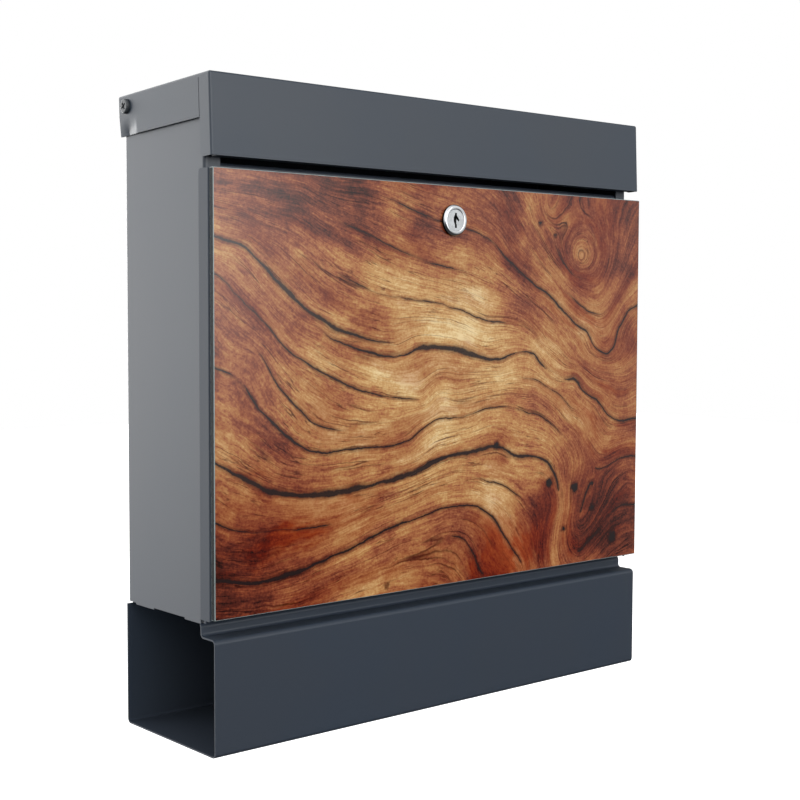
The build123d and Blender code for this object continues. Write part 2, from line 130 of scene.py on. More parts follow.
class Signal:
    """One output socket, whose arithmetic adds Math nodes to its graph."""

    __add__ = arithmetic("ADD")
    __radd__ = arithmetic("ADD", swapped=True)
    __sub__ = arithmetic("SUBTRACT")
    __rsub__ = arithmetic("SUBTRACT", swapped=True)
    __mul__ = arithmetic("MULTIPLY")
    __rmul__ = arithmetic("MULTIPLY", swapped=True)
    __truediv__ = arithmetic("DIVIDE")
    most = arithmetic("MAXIMUM")

    def __init__(self, graph: "Graph", socket: bpy.types.NodeSocket) -> None:
        """Keep the graph and the socket.

        Args:
            graph: the graph that the socket belongs to.
            socket: the output socket.
        """
        self.graph = graph
        self.socket = socket

    def math(self, operation: str, *operands: Operand) -> "Signal":
        """Add one Math node.

        Args:
            operation: the node's operation, such as "ADD".
            operands: its values or signals, in order.

        Returns:
            The node's result.
        """
        return self.graph.node("ShaderNodeMath", {"operation": operation}, dict(enumerate(operands)))

    def __abs__(self) -> "Signal":
        """Drop the sign.

        Returns:
            The signal's distance from zero.
        """
        return self.math("ABSOLUTE", self)

    def rise(self, low: Operand, high: Operand) -> "Signal":
        """Climb smoothly from 0 at low to 1 at high.

        Args:
            low: the value that gives 0.
            high: the value that gives 1, which may be the smaller one.

        Returns:
            The smooth step.
        """
        settings = {"interpolation_type": "SMOOTHSTEP", "clamp": True}
        inputs = {0: self, 1: low, 2: high, 3: 0.0, 4: 1.0}
        return self.graph.node("ShaderNodeMapRange", settings, inputs)


class Graph:
    """A node tree that is built with one method for any node."""

    def __init__(self, tree: bpy.types.NodeTree) -> None:
        """Take a tree over and empty it.

        Args:
            tree: the node tree of a material or a world.
        """
        self.tree = tree
        tree.nodes.clear()

    def node(
        self, kind: str, settings: Optional[dict[str, Any]] = None,
        inputs: Optional[dict[Any, Any]] = None, output: Union[int, str] = 0,
    ) -> Signal:
        """Add a node, set it, then feed its sockets.

        Args:
            kind: the node's type.
            settings: its properties; "stops" gives a colour ramp's (place, colour) pairs.
            inputs: values or signals by socket name or number.
            output: the socket to return.

        Returns:
            The chosen output.
        """
        made = self.tree.nodes.new(kind)
        for key, value in (settings or {}).items():
            if key == "stops":
                self.set_stops(made.color_ramp, value)
            else:
                setattr(made, key, value)
        for key, value in (inputs or {}).items():
            if isinstance(value, Signal):
                self.tree.links.new(value.socket, made.inputs[key])
            else:
                made.inputs[key].default_value = value
        return Signal(self, made.outputs[output] if len(made.outputs) else None)

    @staticmethod
    def set_stops(ramp: bpy.types.ColorRamp, stops: Sequence[tuple[float, Colour]]) -> None:
        """Give a ramp its stops.

        Args:
            ramp: the colour ramp, which starts with two stops.
            stops: places from 0 to 1 with their colours.
        """
        while len(ramp.elements) < len(stops):
            ramp.elements.new(1.0)
        for element, (place, colour) in zip(ramp.elements, stops):
            element.position = place
            element.color = colour

    def mix(self, share: Operand, first: Any, second: Any, blend: str = "MIX") -> Signal:
        """Mix two colours.

        Args:
            share: 0 for the first, 1 for the second.
            first: a colour or a signal.
            second: a colour or a signal.
            blend: how they mix.

        Returns:
            The mixed colour.
        """
        settings = {"data_type": "RGBA", "blend_type": blend, "clamp_factor": True}
        return self.node("ShaderNodeMix", settings, {0: share, 6: first, 7: second}, output=2)

    def place(self) -> Signal:
        """Read where the surface is.

        Returns:
            The point in the object's own frame, in metres.
        """
        return self.node("ShaderNodeTexCoord", output="Object")

    def attribute(self, name: str) -> Signal:
        """Read a number that the mesh carries.

        Args:
            name: the attribute's name.

        Returns:
            Its value at the surface.
        """
        return self.node("ShaderNodeAttribute", {"attribute_name": name}, output="Fac")

    def vector(self, x: Operand, y: Operand, z: Operand) -> Signal:
        """Join three numbers.

        Args:
            x: the first one.
            y: the second one.
            z: the third one.

        Returns:
            The vector.
        """
        return self.node("ShaderNodeCombineXYZ", inputs={0: x, 1: y, 2: z})

    def noise(self, where: Signal, scale: float, detail: float = 3.0, rough: float = 0.5) -> Signal:
        """Add soft random noise.

        Args:
            where: the point that it is read at.
            scale: how many cells there are to a unit.
            detail: how many finer layers are added.
            rough: how strong the finer layers are.

        Returns:
            Noise around 0.5.
        """
        inputs = {"Vector": where, "Scale": scale, "Detail": detail, "Roughness": rough}
        return self.node("ShaderNodeTexNoise", inputs=inputs)

    def bump(self, height: Signal, distance: float, strength: float = 1.0) -> Signal:
        """Turn a height into a bumped normal.

        Args:
            height: the height, in units of the distance.
            distance: what one unit of height is, in metres.
            strength: how much of the bump shows.

        Returns:
            The normal.
        """
        inputs = {"Height": height, "Distance": distance, "Strength": strength}
        return self.node("ShaderNodeBump", inputs=inputs)

    def finish(self, sockets: dict[str, Any]) -> None:
        """Close a material with one Principled shader.

        Args:
            sockets: values or signals by socket name.
        """
        shader = self.node("ShaderNodeBsdfPrincipled", inputs=sockets)
        self.node("ShaderNodeOutputMaterial", inputs={"Surface": shader})


def new_graph(surface: Surface) -> tuple[bpy.types.Material, Graph]:
    """Start a material for a named finish.

    Args:
        surface: the finish, whose value names the material.

    Returns:
        The material and its empty graph.
    """
    material = bpy.data.materials.new(surface.value)
    material.use_nodes = True
    return material, Graph(material.node_tree)


# ---------------------------------------------------------------- finishes

@dataclass(frozen=True)
class PowderCoat:
    """Satin anthracite powder coat on steel, with a faint orange peel."""

    surface: Surface = Surface.PAINT
    specular: float = 0.5
    colour: str = "#30363f"
    cool: str = "#2d3540"
    worn: str = "#3b4149"
    roughness: float = 0.36
    peel: float = 700.0
    peel_height: float = 0.014 * MM
    dent: Optional[tuple[float, float]] = None
    dent_radius: float = 12.0 * MM
    dent_depth: float = 2.6 * MM

    def build(self) -> bpy.types.Material:
        """Make the material: soft tint changes, uneven gloss, orange peel, and any dent.

        The dent's depth is (1 - distance / radius) squared, measured in the side's plane.

        Returns:
            The finished material.
        """
        material, graph = new_graph(self.surface)
        where = graph.place()
        cloud = graph.noise(where, 9.0, 3.0)
        grain = graph.noise(where, 2600.0, 2.0)
        peel = graph.noise(where, self.peel, 2.0, 0.45)
        height = (peel + 0.3 * grain) * self.peel_height
        if self.dent:
            middle = (0.0, *self.dent)
            settings = {"operation": "MULTIPLY"}
            flat = graph.node("ShaderNodeVectorMath", settings, {0: where, 1: (0.0, 1.0, 1.0)})
            settings = {"operation": "DISTANCE"}
            away = graph.node("ShaderNodeVectorMath", settings, {0: flat, 1: middle}, "Value")
            cone = (1 - away / self.dent_radius).most(0.0)
            height = height - cone * cone * self.dent_depth
        tint = graph.mix(cloud.rise(0.3, 0.7), paint(self.colour), paint(self.cool))
        tint = graph.mix(grain.rise(0.45, 0.8) * 0.35, tint, paint(self.worn))
        graph.finish({
            "Base Color": tint,
            "Roughness": self.roughness + (cloud - 0.5) * 0.08 + (grain - 0.5) * 0.10,
            "Specular IOR Level": self.specular,
            "Normal": graph.bump(height, 1.0),
        })
        return material


@dataclass(frozen=True)
class Streak:
    """Noise stretched along the grain, with its cells per millimetre along and over the grain."""

    along: float
    over: float
    seed: float
    detail: float = 2.0
    rough: float = 0.5
    weight: float = 1.0

    def read(self, graph: Graph, run: Signal, across: Signal) -> Signal:
        """Add the noise to a graph.

        Args:
            graph: the material's graph.
            run: the distance along the board.
            across: the distance across the grain.

        Returns:
            Noise around 0.5.
        """
        where = graph.vector(run * self.along, across * self.over, self.seed)
        return graph.noise(where, 1.0, self.detail, self.rough)


STREAKS = (
    Streak(0.010, 0.055, 0.3, 6.0, 0.62, weight=1.05),
    Streak(0.060, 0.60, 2.1, 4.0, 0.62, weight=0.60),
    Streak(0.17, 1.5, 5.7, 3.0, 0.6, weight=0.42),
)
FLECKS = Streak(0.45, 1.9, 8.9, rough=0.6, weight=0.14)
PATCHES = Streak(0.016, 0.040, 17.0, 4.0, 0.62, weight=0.45)
# each thin check with the half width of the band of noise that it fills
CHECKS = (
    (Streak(0.0035, 0.060, 11.0), 0.010),
    (Streak(0.008, 0.13, 18.0), 0.012),
    (Streak(0.016, 0.33, 25.0), 0.016),
)


@dataclass(frozen=True)
class WoodPrint:
    """Old weathered timber, printed behind clear float glass."""

    stops: tuple[tuple[float, str], ...] = (
        (0.00, "#2e1611"), (0.20, "#5c2d22"), (0.36, "#83462f"), (0.50, "#9f6540"),
        (0.64, "#b28350"), (0.80, "#c5a06a"), (1.00, "#dcc494"),
    )
    crack: str = "#1d1414"
    singed: str = "#6b3a2e"
    ember: str = "#b8664a"
    gloss: float = 0.045

    def build(self) -> bpy.types.Material:
        """Make the material from the grain that the pane carries.

        Broad and fine streaks are noise stretched along the grain, hairlines are where slow noise
        crosses its middle value, and cracks are drawn where the distance to a vein is under its width.

        Returns:
            The finished material.
        """
        material, graph = new_graph(Surface.PRINT)
        where = graph.place()
        grain = graph.attribute("grain")
        run = graph.attribute("run")
        wobble = graph.noise(where, 60.0, 3.0, 0.6) - 0.5
        across = grain + wobble * 3.0
        mottle = graph.noise(where, 24.0, 6.0, 0.66)
        speck = graph.noise(where, 620.0, 3.0, 0.6)
        tone = 0.48 + graph.attribute("glow")
        for streak in STREAKS:
            tone = tone + (streak.read(graph, run, across) - 0.5) * streak.weight
        tone = tone + (mottle - 0.5) * 1.05 + (speck - 0.5) * 0.45
        tone = tone - FLECKS.read(graph, run, across).rise(0.60, 0.80) * FLECKS.weight
        stops = [(place, paint(code)) for place, code in self.stops]
        wood = graph.node("ShaderNodeValToRGB", {"stops": stops}, {"Fac": tone})
        patchy = PATCHES.read(graph, run, across).rise(0.46, 0.64) * PATCHES.weight
        wood = graph.mix(graph.attribute("ember") + patchy, wood, paint(self.ember), "MULTIPLY")
        wood = self.hairlines(graph, wood, run, across)
        wood = self.cracks(graph, wood, where)
        smear = graph.noise(where, 14.0, 4.0, 0.6)
        graph.finish({
            "Base Color": wood,
            "Roughness": self.gloss + smear.rise(0.45, 0.75) * 0.03,
            "IOR": 1.5,
        })
        return material

    def hairlines(self, graph: Graph, wood: Signal, run: Signal, across: Signal) -> Signal:
        """Draw thin checks along the grain where slow noise crosses its middle.

        Args:
            graph: the material's graph.
            wood: the colour so far.
            run: the distance along the board.
            across: the distance across the grain.

        Returns:
            The colour with its thin checks.
        """
        for step, (check, width) in enumerate(CHECKS):
            slow = check.read(graph, run, across)
            gate = Streak(0.018, 0.05, 31.0 + 5 * step).read(graph, run, across)
            line = abs(slow - 0.5).rise(width, 0.0) * gate.rise(0.48, 0.62)
            wood = graph.mix(line * 0.8, wood, paint(self.singed), "MULTIPLY")
        return wood

    def cracks(self, graph: Graph, wood: Signal, where: Signal) -> Signal:
        """Draw the cracks with their singed edges, and the knots.

        Args:
            graph: the material's graph.
            wood: the colour so far.
            where: the point on the pane.

        Returns:
            The finished colour.
        """
        ragged = graph.noise(where, 240.0, 4.0, 0.65) - 0.5
        wander = graph.noise(where, 75.0, 3.0, 0.55) - 0.5
        swell = graph.noise(where, 34.0, 2.0, 0.5).rise(0.32, 0.68) * 0.8 + 0.45
        for group in CRACK_GROUPS:
            half = graph.attribute(f"gap_{group}") * swell
            away = abs(graph.attribute(f"rift_{group}") + wander * 3.4 + ragged * (0.7 + half * 0.8))
            opened = half.rise(0.04, 0.30)
            halo = (away / (half * 2.4 + 1.6)).rise(1.0, 0.2) * opened
            core = (away / (half + 0.12)).rise(1.2, 0.5) * opened
            wood = graph.mix(halo * 0.6, wood, paint(self.singed), "MULTIPLY")
            wood = graph.mix(core * 0.93, wood, paint(self.crack))
        knot = graph.attribute("knot") + ragged * 0.9
        wood = graph.mix(knot.rise(0.16, 0.5) * 0.7, wood, paint(self.singed), "MULTIPLY")
        return graph.mix(knot.rise(0.5, 0.62), wood, paint(self.crack))


@dataclass(frozen=True)
class GlassEdge:
    """The ground side of the pane, tinged green by the glass, or its polished arris, whose pale colour
    is a painted highlight.
    """

    surface: Surface
    deep: str
    pale: str
    roughness: float
    ior: float

    def build(self) -> bpy.types.Material:
        """Make the material, with faint grinding marks.

        Returns:
            The finished material.
        """
        material, graph = new_graph(self.surface)
        where = graph.place()
        marks = graph.noise(where, 380.0, 4.0, 0.6)
        graph.finish({
            "Base Color": graph.mix(marks.rise(0.4, 0.8) * 0.5, paint(self.deep), paint(self.pale)),
            "Roughness": self.roughness + marks * 0.12,
            "IOR": self.ior,
            "Normal": graph.bump(marks, 0.00001),
        })
        return material


@dataclass(frozen=True)
class PlatedMetal:
    """Plated metal: polished, brushed or zinc grey, or dark chrome whose darkness is painted shade."""

    surface: Surface
    colour: str
    cloud_tint: str
    roughness: float
    uneven: float
    scale: float
    bump: float

    def build(self) -> bpy.types.Material:
        """Make the material, with cloudy tint, uneven gloss and fine marks.

        Returns:
            The finished material.
        """
        material, graph = new_graph(self.surface)
        where = graph.place()
        cloud = graph.noise(where, self.scale * 0.2, 4.0, 0.6)
        marks = graph.noise(where, self.scale, 4.0, 0.65)
        graph.finish({
            "Base Color": graph.mix(cloud.rise(0.35, 0.75), paint(self.colour), paint(self.cloud_tint)),
            "Metallic": 1.0,
            "Roughness": self.roughness + (marks - 0.5) * self.uneven,
            "Normal": graph.bump(marks, self.bump),
        })
        return material


@dataclass(frozen=True)
class DarkPolymer:
    """Rubber, plastic, foam or blackened steel, told apart by tint, gloss and coarseness."""

    surface: Surface
    colour: str
    dusty: str
    roughness: float
    scale: float
    bump: float

    def build(self) -> bpy.types.Material:
        """Make the material, with a mottled skin.

        Returns:
            The finished material.
        """
        material, graph = new_graph(self.surface)
        where = graph.place()
        skin = graph.noise(where, self.scale, 4.0, 0.6)
        dust = graph.noise(where, 60.0, 3.0)
        graph.finish({
            "Base Color": graph.mix(dust.rise(0.4, 0.75), paint(self.colour), paint(self.dusty)),
            "Roughness": self.roughness + (skin - 0.5) * 0.2,
            "Normal": graph.bump(skin, self.bump),
        })
        return material


def make_palette() -> dict[Surface, bpy.types.Material]:
    """Build every finish once.

    Returns:
        The materials by finish.
    """
    metals = (
        PlatedMetal(Surface.CHROME, "#dfe1e3", "#cfd2d5", 0.09, 0.05, 900.0, 0.000002),
        PlatedMetal(Surface.BRUSHED, "#c4c7c9", "#b0b3b5", 0.30, 0.16, 2200.0, 0.000006),
        PlatedMetal(Surface.ZINC, "#a9adb0", "#8c9296", 0.38, 0.25, 700.0, 0.000008),
        # dark chrome for the rosette's outer side: painted shade
        PlatedMetal(Surface.CHROME_PAINTED_SHADE, "#2e3032", "#232527", 0.22, 0.10, 900.0, 0.000002),
    )
    polymers = (
        # black rubber: the lock's gasket, and also painted shade in the key slot
        DarkPolymer(Surface.RUBBER, "#141414", "#242423", 0.72, 900.0, 0.00002),
        DarkPolymer(Surface.PLASTIC, "#17181a", "#232527", 0.48, 500.0, 0.000025),
        DarkPolymer(Surface.FOAM, "#2b2c2e", "#3c3d3f", 0.85, 1500.0, 0.00008),
        DarkPolymer(Surface.BLACKENED, "#2c3034", "#3a3e42", 0.42, 900.0, 0.00001),
    )
    palette = {Surface.PRINT: WoodPrint().build()}
    paints = (
        PowderCoat(), PowderCoat(Surface.PAN_PAINT, specular=0.24),
        PowderCoat(
            Surface.LID_PAINT, specular=0.40, colour="#323942", cool="#2f3843", dent=PRESSED,
        ),
    )
    edges = (
        GlassEdge(Surface.GLASS_EDGE, "#0b1013", "#1b2427", 0.22, 1.18),
        # the arris: pale grey that paints the highlight along the pane's polished edge
        GlassEdge(Surface.ARRIS_PAINTED_HIGHLIGHT, "#7d8888", "#98a3a3", 0.12, 1.5),
    )
    for finish in paints + metals + polymers + edges:
        palette[finish.surface] = finish.build()
    return palette


# ---------------------------------------------------------------- mesh work

def add_object(name: str, mesh: bpy.types.Mesh) -> bpy.types.Object:
    """Put a mesh into the scene as an object at the origin.

    Args:
        name: the object's name.
        mesh: its mesh.

    Returns:
        The object.
    """
    made = bpy.data.objects.new(name, mesh)
    bpy.context.scene.collection.objects.link(made)
    return made


def ring_faces(rows: int, columns: int, closed: bool) -> np.ndarray:
    """List the quads of a grid whose columns run round.

    Args:
        rows: points along the profile.
        columns: points round the axis.
        closed: whether the last row joins the first one.

    Returns:
        Four point numbers for each quad.
    """
    last = rows if closed else rows - 1
    row = np.arange(last)[:, None]
    column = np.arange(columns)[None, :]
    after_row = (row + 1) % rows
    after_column = (column + 1) % columns
    corners = (row * columns + column, row * columns + after_column,
               after_row * columns + after_column, after_row * columns + column)
    return np.stack(corners, axis=-1).reshape(-1, 4)


def turned(profile: np.ndarray, axis: Vector, centre: Vector, columns: int = 64) -> np.ndarray:
    """Turn a profile about an axis: each point is the centre, plus its height along the axis,
    plus its radius along a spoke that goes round.

    Args:
        profile: rows of (radius, height).
        axis: the unit direction of height.
        centre: a point on the axis, at height 0.
        columns: how many spokes there are.

    Returns:
        Points in rows, one row of spokes for each point of the profile.
    """
    spoke = axis.orthogonal().normalized()
    other = axis.cross(spoke)
    angle = np.linspace(0, 2 * pi, columns, endpoint=False)
    round_dir = np.cos(angle)[:, None] * np.array(spoke) + np.sin(angle)[:, None] * np.array(other)
    points = profile[:, None, :1] * round_dir[None] + profile[:, None, 1:] * np.array(axis)
    return (points + np.array(centre)).reshape(-1, 3)


def solid_from(
    name: str, points: np.ndarray, faces: np.ndarray, sharp: float = 35.0,
) -> bpy.types.Object:
    """Make a closed object from points and quads, and merge what meets.

    Args:
        name: the piece's name.
        points: places in metres.
        faces: point numbers of each quad.
        sharp: edges that turn more than this many degrees stay crisp.

    Returns:
        The object, smooth between its crisp edges.
    """
    mesh = bpy.data.meshes.new(name)
    mesh.from_pydata(points.tolist(), [], faces.tolist())
    merge(mesh, 1e-6)
    mesh.polygons.foreach_set("use_smooth", np.ones(len(mesh.polygons), dtype=bool))
    mesh.set_sharp_from_angle(angle=radians(sharp))
    return add_object(name, mesh)


def merge(mesh: bpy.types.Mesh, distance: float, flatten: bool = False) -> None:
    """Merge points that meet and turn every face outwards.

    Args:
        mesh: the mesh to work on.
        distance: points closer than this become one.
        flatten: whether flat neighbours also join into one face.
    """
    work = bmesh.new()
    work.from_mesh(mesh)
    bmesh.ops.remove_doubles(work, verts=work.verts, dist=distance)
    if flatten:
        bmesh.ops.dissolve_limit(work, angle_limit=radians(0.6), verts=work.verts, edges=work.edges)
    bmesh.ops.recalc_face_normals(work, faces=work.faces)
    work.to_mesh(mesh)
    work.free()


def softened(node: str, name: str, edge: float, limit: float = 38.0) -> bpy.types.Object:
    """Copy a CAD node as one merged surface whose crisp edges are slightly rounded.

    Args:
        node: the CAD node to copy.
        name: the new piece's name.
        edge: how wide the rounding is, in metres.
        limit: edges that turn more than this many degrees are rounded.

    Returns:
        The copy, with Bevel and Weighted Normal modifiers.
    """
    mesh = frame["nodes"][node].data.copy()
    mesh.materials.clear()
    merge(mesh, 2e-6, flatten=True)
    mesh.polygons.foreach_set("use_smooth", np.ones(len(mesh.polygons), dtype=bool))
    piece = add_object(name, mesh)
    bevel = piece.modifiers.new("rounded_edges", "BEVEL")
    bevel.width = edge
    bevel.segments = 3
    bevel.limit_method = "ANGLE"
    bevel.angle_limit = radians(limit)
    bevel.use_clamp_overlap = True
    bevel.miter_outer = "MITER_ARC"
    normals = piece.modifiers.new("flat_faces_stay_flat", "WEIGHTED_NORMAL")
    normals.mode = "FACE_AREA"
    normals.weight = 50
    return piece


def unit_arc(start: float, end: float, count: int = 7) -> np.ndarray:
    """Give points on a circle of radius 1: the cosine and the sine of each angle.

    Args:
        start: its first angle in degrees.
        end: its last angle in degrees.
        count: how many points it has.

    Returns:
        Rows of (radius, height).
    """
    angle = np.radians(np.linspace(start, end, count))
    return np.column_stack((np.cos(angle), np.sin(angle)))


def face_middles(mesh: bpy.types.Mesh) -> np.ndarray:
    """Find the middle of each face.

    Args:
        mesh: the mesh.

    Returns:
        One row for each face.
    """
    middles = np.zeros(len(mesh.polygons) * 3)
    mesh.polygons.foreach_get("center", middles)
    return middles.reshape(-1, 3)


def middle_of(node: str) -> Vector:
    """Find the middle of a CAD node's box.

    Args:
        node: the CAD node.

    Returns:
        The middle of its box.
    """
    low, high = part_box(node)
    return (low + high) / 2


@dataclass
class SubAssembly:
    """Pieces that ride on one body, dressed from one palette."""

    palette: dict[Surface, bpy.types.Material]
    body: str = "root"
    edge: float = 0.40 * MM
    made: list[bpy.types.Object] = field(default_factory=list)

    def keep(
        self, piece: bpy.types.Object, slot: str, surfaces: Sequence[Surface],
        nodes: Sequence[str], body: Optional[str] = None,
    ) -> bpy.types.Object:
        """Dress a piece, give it its body, and hide the nodes that it stands for.

        Args:
            piece: the finished object.
            slot: the record's material slot; not used.
            surfaces: its finishes, in the order of its material slots.
            nodes: the CAD nodes that it replaces.
            body: the body it rides on, if not the sub-assembly's own.

        Returns:
            The same piece.
        """
        for surface in surfaces:
            piece.data.materials.append(self.palette[surface])
        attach(piece, body or self.body)
        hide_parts(*nodes)
        self.made.append(piece)
        return piece

    def copy(
        self, node: str, form: str, slot: str, *surfaces: Surface,
        edge: Optional[float] = None, body: Optional[str] = None,
    ) -> bpy.types.Object:
        """Keep a copy of a CAD node with softened edges.

        Args:
            node: the CAD node, whose name starts the piece's name.
            form: the word that ends the piece's name.
            slot: the record's material slot.
            surfaces: its finishes, in the order of its material slots.
            edge: how wide the rounding is, if not the sub-assembly's own.
            body: the body it rides on, if not the sub-assembly's own.

        Returns:
            The copy.
        """
        piece = softened(node, f"{node}_{form}", edge or self.edge)
        return self.keep(piece, slot, surfaces, [node], body)

    def report(self) -> None:
        """Log each piece with its face count."""
        for piece in self.made:
            LOG.info("%s: %s, %d faces", type(self).__name__, piece.name, len(piece.data.polygons))


# ---------------------------------------------------------------- body, tube and their fasteners

@dataclass
class BodyShell(SubAssembly):
    """The folded body, its floor, the slot's crossbar and the newspaper tube."""

    def build(self) -> None:
        """Copy each folded sheet with softened edges and paint it."""
        for node in ("body_wrap", "floor_panel", "slot_crossbar"):
            self.copy(node, "sheet", "painted_steel", Surface.PAINT)
        self.copy("newspaper_tube", "sheet", "painted_steel", Surface.PAN_PAINT)


@dataclass
class WallSpacers(SubAssembly):
    """Four moulded spacers between the back and the wall."""

    bore: float = 3.25 * MM
    chamfer: float = 0.8 * MM
    foot: float = 0.6 * MM

    def build(self) -> None:
        """Turn one ring section at each wall screw: a waisted collar with chamfered ends."""
        low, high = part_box("wall_spacers")
        length = high.y - low.y
        outer = (high.x - low.x - self.pitch(0)) / 2
        waist = outer - self.foot
        profile = np.array([
            (self.bore, 0.0), (outer - self.chamfer, 0.0), (outer, self.chamfer),
            (outer, 3 * self.chamfer), (waist, 4 * self.chamfer),
            (waist, length - 4 * self.chamfer),
            (outer, length - 3 * self.chamfer), (outer, length - self.chamfer),
            (outer - self.chamfer, length), (self.bore, length),
        ])
        sheets = []
        for side in (-1, 1):
            for level in (-1, 1):
                centre = Vector((side * self.pitch(0) / 2, high.y, level * self.pitch(1) / 2))
                sheets.append(turned(profile, Vector((0, -1, 0)), centre))
        quads = ring_faces(len(profile), 64, closed=True)
        count = len(sheets[0])
        faces = np.concatenate([quads + step * count for step in range(len(sheets))])
        piece = solid_from("wall_spacer_collars", np.concatenate(sheets), faces)
        self.keep(piece, "black_plastic", [Surface.PLASTIC], ["wall_spacers"])

    @staticmethod
    def pitch(way: int) -> float:
        """Read how far apart the wall screws stand from the record's mount.

        Args:
            way: 0 for across, 1 for up.

        Returns:
            The distance in metres.
        """
        mounts = frame["record"]["mounts"]
        dims = next(m["dims"] for m in mounts if m["name"] == "wall_holes")
        return dims[("spacing_x_mm", "spacing_y_mm")[way]] * MM


@dataclass
class Rivets(SubAssembly):
    """Blind rivets with domed heads and a dimple where the pin broke off."""

    shank: float = 2.0 * MM
    head: float = 3.6 * MM
    rise: float = 1.15 * MM
    tail: float = 3.1 * MM
    dimple: float = 1.0 * MM
    head_height: float = 1.2 * MM
    round_within: float = 0.3 * MM
    crown: float = 0.93
    pit_share: float = 0.45
    pit_floor: float = 0.85
    columns: int = 32

    def profile(self, grip: float) -> np.ndarray:
        """Give the section: a dimpled dome, the shank, and a bulged tail.

        Args:
            grip: the thickness of sheet between head and tail.

        Returns:
            Rows of (radius, height), with the head at height 0 and above.
        """
        spread = np.linspace(0.0, 1.0, 9)
        dome_radius = self.dimple + (self.head - self.dimple) * spread
        dome_height = self.rise * np.sqrt(1 - (self.crown * spread) ** 2)
        dome = np.column_stack((dome_radius, dome_height))
        pit = self.pit_share * self.rise
        dimple = np.array([(0.0, pit), (self.pit_floor * self.dimple, pit)])
        under = np.array([
            (self.head, 0.0), (self.shank, 0.0), (self.shank, -grip), (self.tail, -grip),
        ])
        bulge = unit_arc(0.0, -90.0) * [self.tail, self.rise] - [0.0, grip]
        return np.concatenate((dimple, dome, under, bulge[1:]))

    def build(self) -> None:
        """Turn a rivet at each loose solid of the two rivet nodes."""
        for node in ("crossbar_rivets", "tube_rivets"):
            self.group(node)

    def group(self, node: str) -> None:
        """Make all rivets of one CAD node as one piece.

        Args:
            node: the rivet node.
        """
        sheets = []
        for centre, size in loose_solids(node):
            upright = abs(size.x - size.y) < self.round_within
            axis = Vector((0, 0, 1)) if upright else Vector((0, -1, 0))
            grip = (size.z if upright else size.y) - 2 * self.head_height
            section = self.profile(grip)
            sheets.append(turned(section, axis, centre + axis * (grip / 2), self.columns))
        quads = ring_faces(len(section), self.columns, closed=False)
        faces = np.concatenate([quads + step * len(sheets[0]) for step in range(len(sheets))])
        piece = solid_from(f"{node}_domed", np.concatenate(sheets), faces)
        self.keep(piece, "zinc_steel", [Surface.ZINC], [node])


def loose_solids(node: str) -> list[tuple[Vector, Vector]]:
    """Find the separate solids of a CAD node.

    Args:
        node: the CAD node.

    Returns:
        The middle and the size of each solid's box.
    """
    work = bmesh.new()
    work.from_mesh(frame["nodes"][node].data)
    bmesh.ops.remove_doubles(work, verts=work.verts, dist=2e-6)
    left = set(work.verts)
    found = []
    while left:
        seed = left.pop()
        island, queue = [seed], [seed]
        while queue:
            for edge in queue.pop().link_edges:
                for near in edge.verts:
                    if near in left:
                        left.remove(near)
                        island.append(near)
                        queue.append(near)
        places = np.array([v.co for v in island])
        low, high = places.min(axis=0), places.max(axis=0)
        found.append((Vector((low + high) / 2), Vector(high - low)))
    work.free()
    return sorted(found, key=lambda item: tuple(item[0]))


# ---------------------------------------------------------------- lid and hinges

@dataclass
class LetterLid(SubAssembly):
    """The lid: one folded pan with a deep front flap."""

    body: str = "lid"

    def build(self) -> None:
        """Copy the folded lid with softened edges and paint it."""
        self.copy("lid", "folded", "painted_steel", Surface.LID_PAINT)


@dataclass
class HingeHardware(SubAssembly):
    """Screws, washers and nuts of the lid's hinge, and the plates and pins of the door's."""

    edge: float = 0.14 * MM

    def build(self) -> None:
        """Copy each turned or pressed part with softened edges."""
        for node in ("lid_hinge_screws", "lid_hinge_nuts"):
            self.copy(node, "turned", "zinc_steel", Surface.BLACKENED)
        self.copy("lid_hinge_washers", "turned", "black_plastic", Surface.PLASTIC)
        for side in ("left", "right"):
            self.copy(f"door_hinge_plate_{side}", "pressed", "painted_steel", Surface.PAINT)
        self.copy("door_hinge_pins", "turned", "zinc_steel", Surface.ZINC, body="door")


# ---------------------------------------------------------------- door

@dataclass(frozen=True)
class Vein:
    """One growth line of the printed timber.

    The level grows across the grain, in millimetres. The route's points are shares of the pane,
    across from the left and down from the top. The crack's stops are (share across, half width
    in mm).
    """

    level: float
    route: tuple[tuple[float, float], ...]
    crack: tuple[tuple[float, float], ...] = ()


